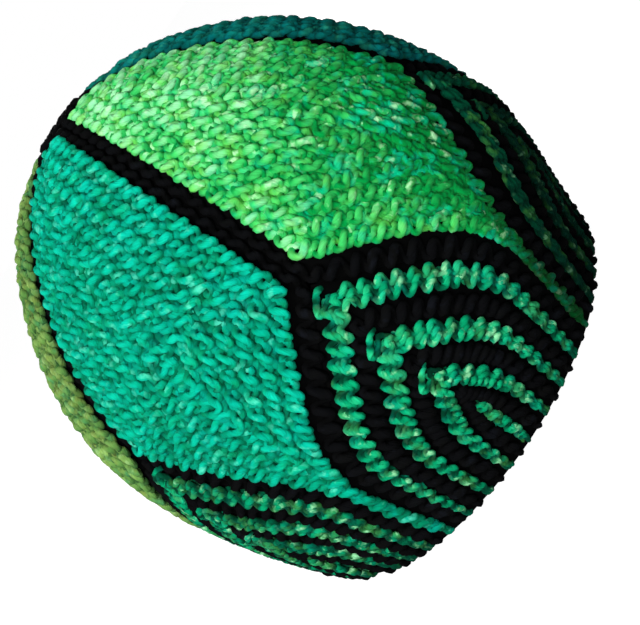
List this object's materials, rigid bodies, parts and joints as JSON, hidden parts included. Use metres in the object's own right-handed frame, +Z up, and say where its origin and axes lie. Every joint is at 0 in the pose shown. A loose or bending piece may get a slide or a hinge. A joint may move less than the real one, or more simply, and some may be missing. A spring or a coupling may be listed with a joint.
{
  "type": "beanie",
  "caption": "Hand-knitted garter-stitch beanie with plain green and teal gores, near-black Y-shaped bands and striped chevron wedges, open at the rim to fit a head.",
  "frame": {"origin": "middle of the open rim, on the surface that the beanie stands on", "axes": "+Z up through the crown; -Y faces the wedge that the picture shows in the middle"},
  "size_m": [0.2096, 0.2096, 0.194],
  "materials": {
    "leaf_green_yarn": "matt wool, leaf green",
    "sea_teal_yarn": "matt wool, sea teal",
    "moss_olive_yarn": "matt wool, moss olive",
    "jade_yarn": "matt wool, jade",
    "deep_teal_yarn": "matt wool, deep teal",
    "stripe_green_yarn": "matt wool, green stripes",
    "black_yarn": "matt wool, near-black"
  },
  "bodies": {
    "root": {"gore_1": "leaf_green_yarn", "gore_2": "sea_teal_yarn", "gore_3": "moss_olive_yarn", "gore_4": "jade_yarn", "gore_5": "leaf_green_yarn", "gore_6": "deep_teal_yarn", "band_1": "black_yarn", "band_2": "black_yarn", "band_3": "black_yarn", "band_4": "black_yarn", "band_5": "black_yarn", "band_6": "black_yarn", "wedge_1": "stripe_green_yarn", "wedge_2": "stripe_green_yarn", "wedge_3": "stripe_green_yarn", "wedge_4": "stripe_green_yarn", "wedge_5": "stripe_green_yarn", "wedge_6": "stripe_green_yarn", "crown_gather": "black_yarn"}
  },
  "joints": []
}
